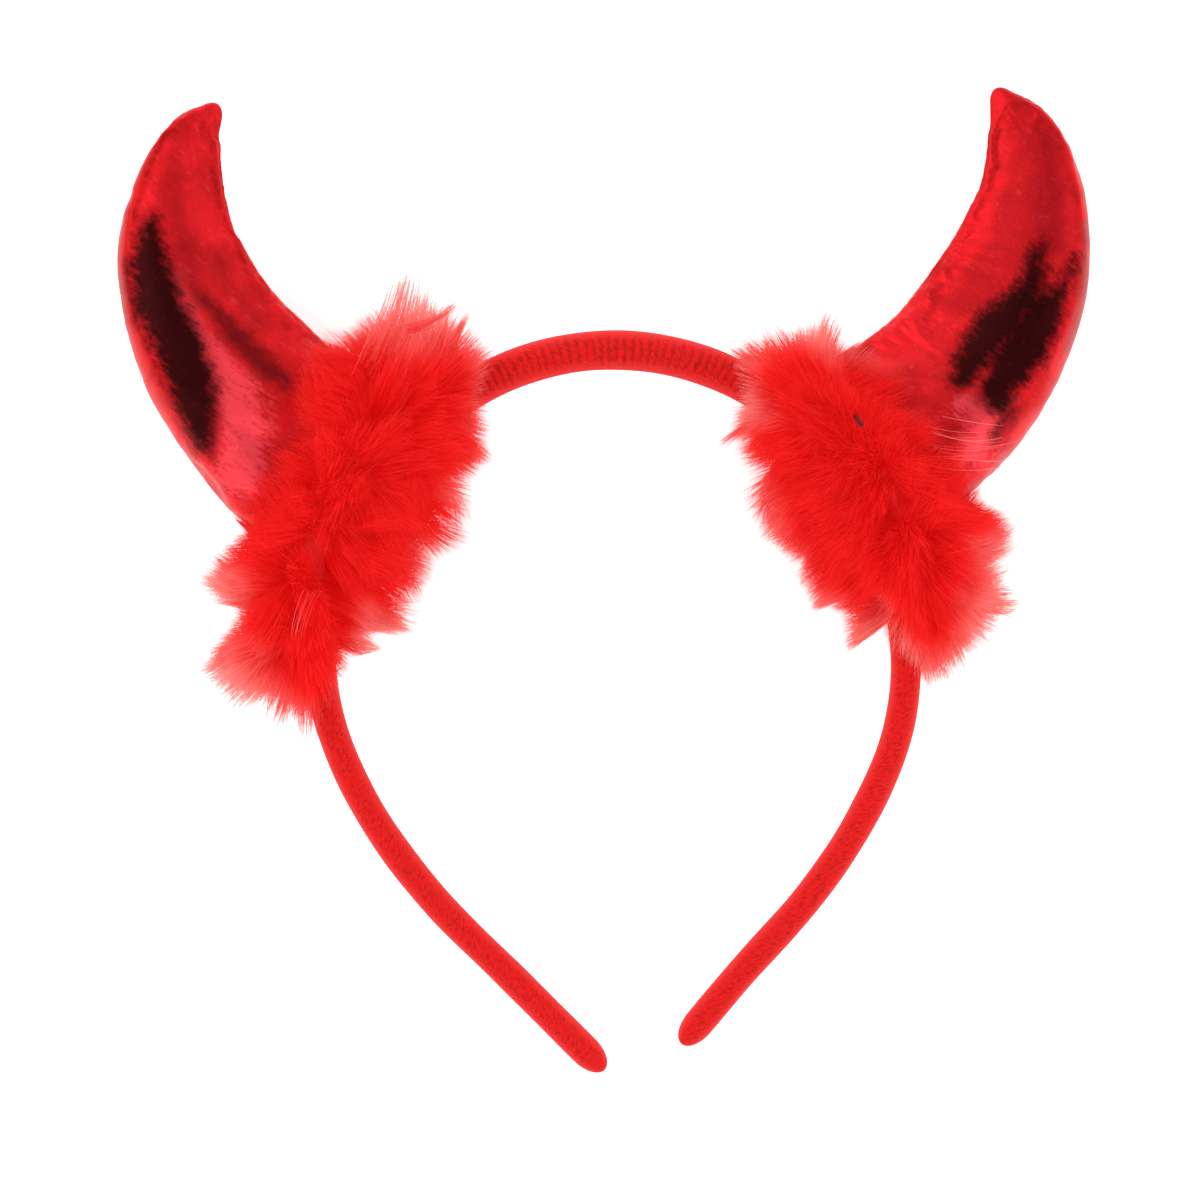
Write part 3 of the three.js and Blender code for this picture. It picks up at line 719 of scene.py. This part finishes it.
# A trim's middle and its own directions: down along the band, outwards, and up.
def trimFrame(trim):
    point, outwards, down = footOf(horns[trim["horn"]])
    return point + down * trim["shift"], np.stack([down, outwards, up])


# The ring's centreline at turns: (half length * cos, seat - sag, depth * sin), where sag = along^2 / width.
def ringAt(look, trim, turn):
    along = trim["halfLength"] * np.cos(turn)
    sag = (along + trim["shift"]) ** 2 / bandLook["archWidth"]
    return np.stack([along, look["ringSeat"] - sag, look["ringDepth"] * np.sin(turn)], -1)


# How far out a point is against the trim's outline, 1 on it: sqrt((distance / reach there)^2 + (z / rise)^2).
def fullness(look, trim, local):
    rows = np.array(trim["outline"])
    turn = np.degrees(np.arctan2(local[..., 1], local[..., 0]))
    reach = np.interp(turn, rows[:, 0], rows[:, 1], period=360)
    return np.hypot(np.hypot(local[..., 0], local[..., 1]) / reach, local[..., 2] / look["rise"])


# Plumes: tips at places spread evenly over a sphere by the golden angle, chosen as 1 / fullness^2, so more
# often where the outline reaches further, and each plume's root at the ring's point below its tip.
def plumesOf(look, trim, random):
    number = np.arange(look["places"])
    height = 1 - 2 * (number + 0.5) / len(number)
    turn = look["goldenAngle"] * number
    level = np.sqrt(1 - height**2)
    sphere = np.column_stack([level * np.cos(turn), level * np.sin(turn), height])
    full = fullness(look, trim, sphere)
    weight = full**-2.0 * np.where(height > 0, look["upperShare"], 1 - look["upperShare"])
    plumes = look["plumes"]
    chosen = random.choice(len(number), plumes, replace=False, p=weight / weight.sum())
    tip = sphere[chosen] * (random.uniform(0.97, 1.05, plumes) / full[chosen])[:, None]
    tip = np.vstack([tip, [row[:3] for row in trim["tufts"]]])
    turn = np.arctan2(tip[:, 2] / look["ringDepth"], tip[:, 0] / trim["halfLength"])
    turn = turn + random.normal(0, 0.22, len(tip))
    radius = look["plumeRadius"] * random.uniform(0.7, 1.25, plumes)
    return ringAt(look, trim, turn), tip, np.append(radius, [row[3] for row in trim["tufts"]])


# Barbs: each fans out from its plume's stem to a tip on the plume's dome, along (1-t)^2 * start + 2t(1-t) *
# bend + t^2 * tip, and sways with its neighbours. Dome = the plume's own fullness * (1 - dome * (distance /
# radius)^2).
def barbsOf(look, trim, random, count):
    root, plumeTip, plumeRadius = plumesOf(look, trim, random)
    owner = random.integers(0, len(root), count)
    stem = plumeTip - root
    sideways = unit(np.cross(stem, random.normal(size=stem.shape)))
    other = unit(np.cross(stem, sideways))
    share, around = np.sqrt(random.uniform(0, 1, count)), random.uniform(0, 2 * np.pi, count)
    fan = sideways[owner] * np.cos(around)[:, None] + other[owner] * 0.6 * np.sin(around)[:, None]
    offset = fan * (share * plumeRadius[owner])[:, None]
    tip = plumeTip[owner] + offset
    narrow = plumeRadius[owner] < look["plumeRadius"] / 2
    full = fullness(look, trim, plumeTip)[owner] * (1 - look["dome"] * share**2)
    full = full + random.normal(0, 0.018, count)
    full = np.where(random.uniform(0, 1, count) < 0.25, full * random.uniform(0.4, 0.95, count), full)
    tip = tip * (full / np.maximum(fullness(look, trim, tip), 0.3))[:, None]
    length = np.linalg.norm(stem, axis=1)[owner]
    size = np.minimum(look["barbLength"] * random.uniform(0.6, 1.35, count), 0.95 * length)
    along = np.clip(1 - size / length, 0, 1) * np.clip(full, 0.4, 1)
    start = root[owner] + stem[owner] * along[:, None] + offset * 0.15
    bend = (start + tip) / 2 + fan * (look["bulge"] * size * np.where(narrow, 0.3, 1))[:, None]
    t = np.linspace(0, 1, 4)[None, :, None]
    path = (1 - t) ** 2 * start[:, None] + 2 * t * (1 - t) * bend[:, None] + t**2 * tip[:, None]
    x, y, z = (path[..., k] / 3.2 for k in range(3))
    drift = np.stack([wander(y + z / 2, 31), wander(z + x / 2, 32), wander(x + y / 2, 33)], -1)
    return path + look["sway"] * t * drift


# How far out a point is against a horn's oval sections, 1 on the skin grown by a gap, with its way out from
# their middles: sqrt((x / (half width + gap))^2 + (z / (half depth + gap))^2).
def againstHorn(points, horn, gap):
    centre, size, across = hornSections(hornLook, horn, 40)[:3]
    nearest = np.argmin(((points[:, None, :2] - centre[None, :, :2]) ** 2).sum(2), 1)
    apart = points - centre[nearest]
    side = across[nearest]
    x, z = (apart * side).sum(1), apart[:, 2]
    inside = np.hypot(x / (size[nearest, 0] + gap), z / (size[nearest, 1] + gap))
    return inside, side * x[:, None] + up * z[:, None]


# Keeps paths outside the horn: barbs that end well within it are left out, and points within are pushed
# straight out by 1 / inside - 1 of their way from its middle.
def clearOfHorn(path, horn, gap):
    free = againstHorn(path[:, -1], horn, gap)[0] > 0.8
    path = path[free]
    inside, apart = againstHorn(path.reshape(-1, 3), horn, gap)
    push = np.where(inside < 1, 1 / np.maximum(inside, 0.35), 1) - 1
    return path + (apart * push[:, None]).reshape(path.shape), free


# Ribbons along paths [barb, point, 3], narrowing to a tip as 0.5 - 0.35 * share^2 of the width, with a UV map
# of length along and the barb's own shade, and the rim value of each point.
def ribbons(name, path, width, rim, random):
    count, rows = len(path), path.shape[1] - 1
    facing = unit(np.cross(path[:, 1] - path[:, 0], random.normal(size=(count, 3))))
    share = np.arange(rows + 1) / rows
    half = facing[:, None] * (width * (0.5 - 0.35 * share[:-1] ** 2))[..., None]
    points = np.concatenate([path[:, :-1] - half, path[:, :-1] + half, path[:, -1:]], 1).reshape(-1, 3)
    base = (np.arange(count) * (2 * rows + 1))[:, None]
    quads = np.concatenate([base + [k, rows + k, rows + k + 1, k + 1] for k in range(rows - 1)]).reshape(-1, 4)
    tips = base + [rows - 1, 2 * rows - 1, 2 * rows]
    shade = random.uniform(0, 1, (count, 1))
    spans = [share[[k, k, k + 1, k + 1]] for k in range(rows - 1)]
    quadU = np.concatenate([np.broadcast_to(span, (count, 4)) for span in spans])
    quadUv = np.stack(np.broadcast_arrays(quadU, np.tile(shade, (rows - 1, 1))), -1)
    tipU = share[[rows - 1, rows - 1, rows]][None, :]
    tipUv = np.stack(np.broadcast_arrays(tipU, shade), -1)
    piece = meshPiece(name, placed(points), [quads, tips], [quadUv, tipUv])
    addAttribute(piece, "rim", np.concatenate([rim[:, :-1], rim[:, :-1], rim[:, -1:]], 1))
    return piece


# The trim's packed middle: a lumpy tube along the ring. Radius = ring radius * (1 + lumps).
def makeCore(name, look, trim):
    middle, axes = trimFrame(trim)
    turn = np.linspace(0, 2 * np.pi, 97)[:-1]
    centre = ringAt(look, trim, turn)
    along = unit(np.roll(centre, -1, 0) - np.roll(centre, 1, 0))
    away = unit(np.cross(along, np.array([0, 1, 0])))
    side = np.cross(along, away)
    around = np.linspace(0, 2 * np.pi, 25)[:-1]
    lumps = wander(9 * turn[:, None] + 2 * np.sin(around)[None, :], trim["seed"])
    radius = look["ringRadius"] * (1 + 0.12 * lumps)
    circle = away[:, None] * np.cos(around)[None, :, None] + side[:, None] * np.sin(around)[None, :, None]
    grid = middle + (centre[:, None] + radius[..., None] * circle) @ axes
    grid[..., 2] = np.maximum(grid[..., 2], look["lowest"])
    n, m = grid.shape[:2]
    i, j = np.meshgrid(np.arange(n), np.arange(m), indexing="ij")
    i, j = i.ravel(), j.ravel()
    nextI, nextJ = (i + 1) % n, (j + 1) % m
    quads = np.stack([i * m + j, i * m + nextJ, nextI * m + nextJ, nextI * m + j], 1)
    uv = np.stack([i, j, i, j + 1, i + 1, j + 1, i + 1, j], 1)
    return meshPiece(name, placed(grid.reshape(-1, 3)), [quads], [uv])


# Marabou: matte red down that lets light through, paler and pinker towards each barb's tip, with pale
# see-through light painted at the rim and a painted glow from its emission that lifts the shade among the
# barbs.
def marabouMaterial(look):
    material, tree = newMaterial("red_marabou")
    surface = addNode(tree, "ShaderNodeTexCoord", None, None, "UV")
    along = addNode(tree, "ShaderNodeSeparateXYZ", None, {0: surface}, "X")
    shade = addNode(tree, "ShaderNodeSeparateXYZ", None, {0: surface}, "Y")
    rim = attributeOf(tree, "rim")
    where = addNode(tree, "ShaderNodeTexCoord", None, None, "Object")
    clouds = noiseOver(tree, where, 130, Detail=2)
    red = blendColours(tree, shade, *look["redColours"])
    patchy = blendColours(tree, stepBetween(tree, clouds, 0.5, 0.75) * 0.15, red, look["patchColour"])
    tipped = blendColours(tree, stepBetween(tree, along, 0.5, 1.0) * 0.35, patchy, look["tipColour"])
    # Painted see-through light: barbs near the rim, most towards their tips, turn pale as if the floor showed
    # through.
    paintedSeeThrough = rim * (along * 0.8 + 0.2) * (shade * 0.5 + 0.8)
    colour = blendColours(tree, paintedSeeThrough, tipped, look["paintedSeeThroughColour"])
    # Painted glow: a steady emission in the down's own colour that lifts its shade.
    inputs = {"Base Color": colour, "Roughness": 0.8, "Specular IOR Level": 0, "Emission Color": colour,
              "Emission Strength": look["glow"]}
    skin = addNode(tree, "ShaderNodeBsdfPrincipled", None, inputs)
    redThrough = addNode(tree, "ShaderNodeBsdfTranslucent", None, {"Color": look["throughColour"]})
    paleThrough = addNode(tree, "ShaderNodeBsdfTranslucent", None, {"Color": look["paintedSeeThroughColour"]})
    through = addNode(tree, "ShaderNodeMixShader", None, {0: paintedSeeThrough, 1: redThrough, 2: paleThrough})
    finishMaterial(tree, addNode(tree, "ShaderNodeMixShader", None, {0: 0.5, 1: skin, 2: through}))
    return material


# How near the rim points are as seen from the front: from 0 within to 1 on the outline, and 0 over the horn.
# It starts further in at the lobes: lobe = exp(-(turn from its middle / its width)^2).
# This value marks where pale see-through light is painted on the barbs.
def rimOf(look, trim, path):
    middle, axes = trimFrame(trim)
    local = (path - middle) @ axes.T
    local[..., 2] = 0
    turn = np.degrees(np.arctan2(local[..., 1], local[..., 0]))
    lobes = sum(np.exp(-((((turn - at + 180) % 360 - 180) / wide) ** 2)) for at, wide in trim["lobes"])
    lobe = np.minimum(lobes, 1)
    overHorn = smooth(0.55, 0.85, local[..., 1] / np.maximum(np.linalg.norm(local, axis=-1), 1))
    near = smooth(0.8 - 0.2 * lobe, 1.02, fullness(look, trim, local))
    return near * (0.55 + 0.45 * lobe) * (1 - overHorn)


# One trim: its barbs, held within its outline, off the horn and above the surface, and its packed middle.
def makeTrim(sideName, look, trim, material):
    middle, axes = trimFrame(trim)
    random = np.random.default_rng(trim["seed"])
    path = barbsOf(look, trim, random, look["barbs"])
    over = fullness(look, trim, path)[..., None]
    most = look["mostOver"]
    path = middle + np.where(over > most, path / over * most, path) @ axes
    path = clearOfHorn(path, horns[trim["horn"]], look["hornGap"])[0]
    low = look["lowest"] + random.uniform(0, 0.8, path.shape[:2])
    path[..., 2] = np.maximum(path[..., 2], low)
    width = look["barbWidth"] * random.uniform(0.6, 1.5, (len(path), 1))
    print("  barbs", len(path))
    rim = rimOf(look, trim, path)
    parts = {"under": slice(0, look["mostBarbs"]), "over": slice(look["mostBarbs"], None)}
    made = [ribbons("down_%s_%s" % (sideName, part), path[rows], width[rows], rim[rows], random)
            for part, rows in parts.items()]
    made.append(makeCore("down_core_" + sideName, look, trim))
    for piece in made:
        piece.data.materials.append(material)
        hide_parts("feather_trim_" + sideName)
        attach(piece, "root")


# Loose hairs on the trims, in groups from a start to an end with a spread, a bend, a count and a paleness,
# the share of painted pale see-through light, and the end of one feather's stem.
strandLook = {
    "points": 9,
    "width": 0.13,
    "left": [((-58.5, 15, 46), (-62, 5.5, 41), 1.1, 0.8, 12, 0.45),
             ((-40, 66, 34), (-31, 71.5, 30), 0.5, 1, 50, 0.6),
             ((-45, 61, 34), (-40.5, 76.5, 27), 2.2, 1, 190, 0.95)],
    "right": [((63, 44, 35), (76.5, 43.5, 34), 2.6, 1.6, 15, 0.95)],
    "stem": ((46.9, 48.9, 43), (48.1, 46.9, 47.8)),
    "stemRadius": 0.42,
    "stemColours": ((0.07, 0.01, 0.011), (0.18, 0.018, 0.018)),
}


# Strand = start + (end - start) * t + bend * 4t(1-t) sideways, those of a group nearly side by side.
def makeStrands(sideName, look, trim):
    random = np.random.default_rng(trim["seed"] + 40)
    t = np.linspace(0, 1, look["points"])[None, :, None]
    paths, paintedSeeThrough = [], []
    for start, end, spread, bend, count, seeThroughPaleness in look[sideName]:
        loose = [1, 1, 0.5]
        apart = random.normal(0, spread, (count, 3)) * loose
        first = np.array(start) + apart
        last = np.array(end) + apart * 0.7 + random.normal(0, 0.2 * spread, (count, 3)) * loose
        side = unit(np.cross(last - first, up)) * random.normal(0.6, 0.25, (count, 1)) * bend
        paths.append(first[:, None] * (1 - t) + last[:, None] * t + side[:, None] * 4 * t * (1 - t))
        paintedSeeThrough.append(np.full((count, look["points"]), seeThroughPaleness))
    path, free = clearOfHorn(np.concatenate(paths), horns[trim["horn"]], trimLook["hornGap"])
    width = look["width"] * random.uniform(0.7, 1.5, (len(path), 1))
    return ribbons("loose_hairs_" + sideName, path, width, np.concatenate(paintedSeeThrough)[free], random)


# The cut end of a feather's stem: a thin round rod from one point to another.
def makeStem(look):
    first, last = (np.array(point, float) for point in look["stem"])
    side = unit(np.cross(last - first, up))
    other = np.cross(unit(last - first), side)
    turn = np.linspace(0, 2 * np.pi, 13)[:-1]
    circle = side * np.cos(turn)[:, None] + other * np.sin(turn)[:, None]
    share = np.array([0, 0.02, 0.5, 0.96, 1])[:, None, None]
    radius = np.array([0.3, 1, 0.9, 1, 0.6])[:, None, None] * look["stemRadius"]
    grid = first * (1 - share) + last * share + circle * radius
    return closedSkin("plume_stem", placed(grid), share.ravel(), turn, placed([first, last]))


# The stem's end: dull dark red in a fine grain.
def stemMaterial(look):
    material, tree = newMaterial("plume_stem")
    where = addNode(tree, "ShaderNodeTexCoord", None, None, "Object")
    grain = noiseOver(tree, where, 900)
    colour = blendColours(tree, grain, *look["stemColours"])
    inputs = {"Base Color": colour, "Roughness": 0.7, "Specular IOR Level": 0.1}
    finishMaterial(tree, addNode(tree, "ShaderNodeBsdfPrincipled", None, inputs))
    return material


print("trims")
marabou = marabouMaterial(trimLook)
for sideName, trim in trims.items():
    makeTrim(sideName, trimLook, trim, marabou)
loose = [(makeStrands(sideName, strandLook, trim), marabou, sideName) for sideName, trim in trims.items()]
loose.append((makeStem(strandLook), stemMaterial(strandLook), "right"))
for piece, material, sideName in loose:
    piece.data.materials.append(material)
    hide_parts("feather_trim_" + sideName)
    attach(piece, "root")

# The studio: a pale floor, light from all round with a darker ceiling over the camera, and two soft lamps.
studio = {
    "floorSize": 3,
    "floorColour": (0.93, 0.93, 0.93),
    "floorGlow": 0.6,
    "surround": 1.08,
    "ceiling": 0.45,
    "ceilingEdge": (0.72, 0.96),
    "lamps": [("lamp_left", (-0.7, 0.35, 0.75), 2.2, 0.5), ("lamp_right", (0.75, -0.2, 0.8), 1.5, 0.6)],
    "sensor": 36,
    "cameraHeight": 1.0,
    "viewWidth": 0.24,
    "viewCentre": (-2.7, 13),
}


# The floor, the light all round it, lower over the camera by a smooth step of the height, and the lamps.
def makeStudio(look):
    size = look["floorSize"] / 2
    corners = np.array([[-size, -size, 0], [size, -size, 0], [size, size, 0], [-size, size, 0]], float)
    floor = meshPiece("floor", corners, [np.array([[0, 1, 2, 3]])])
    material, tree = newMaterial("pale_floor")
    inputs = {"Base Color": look["floorColour"], "Roughness": 0.9, "Specular IOR Level": 0.1,
              "Emission Color": (1, 1, 1), "Emission Strength": look["floorGlow"]}
    finishMaterial(tree, addNode(tree, "ShaderNodeBsdfPrincipled", None, inputs))
    floor.data.materials.append(material)
    world = bpy.data.worlds.new("studio")
    bpy.context.scene.world = world
    world.use_nodes = True
    tree = world.node_tree
    tree.nodes.clear()
    where = addNode(tree, "ShaderNodeTexCoord", None, None, "Generated")
    height = addNode(tree, "ShaderNodeSeparateXYZ", None, {0: where}, "Z")
    over = stepBetween(tree, height, *look["ceilingEdge"])
    level = look["surround"] - over * (look["surround"] - look["ceiling"])
    light = addNode(tree, "ShaderNodeBackground", None, {"Color": (1, 1, 1), "Strength": level})
    output = tree.nodes.new("ShaderNodeOutputWorld")
    tree.links.new(light.socket, output.inputs["Surface"])
    for name, spot, energy, wide in look["lamps"]:
        lamp = bpy.data.lights.new(name, "AREA")
        lamp.energy, lamp.size = energy, wide
        holder = bpy.data.objects.new(name, lamp)
        holder.location = spot
        aim = np.array(spot)
        tilt = math.acos(aim[2] / np.linalg.norm(aim))
        holder.rotation_euler = (tilt, 0, math.atan2(aim[1], aim[0]) + math.pi / 2)
        bpy.context.scene.collection.objects.link(holder)


# The camera, straight above the piece: lens = sensor * height / width of the view.
def makeCamera(look):
    camera = bpy.data.cameras.new("camera")
    camera.sensor_width = look["sensor"]
    camera.lens = look["sensor"] * look["cameraHeight"] / look["viewWidth"]
    camera.clip_start, camera.clip_end = 0.05, 20
    holder = bpy.data.objects.new("camera", camera)
    centre = placed([*look["viewCentre"], bandLook["height"]])
    holder.location = (centre[0], centre[1], centre[2] + look["cameraHeight"])
    bpy.context.scene.collection.objects.link(holder)
    bpy.context.scene.camera = holder


print("studio")
makeStudio(studio)
makeCamera(studio)
bpy.context.scene.view_settings.view_transform = "Standard"
bpy.context.view_layer.update()
print("done")
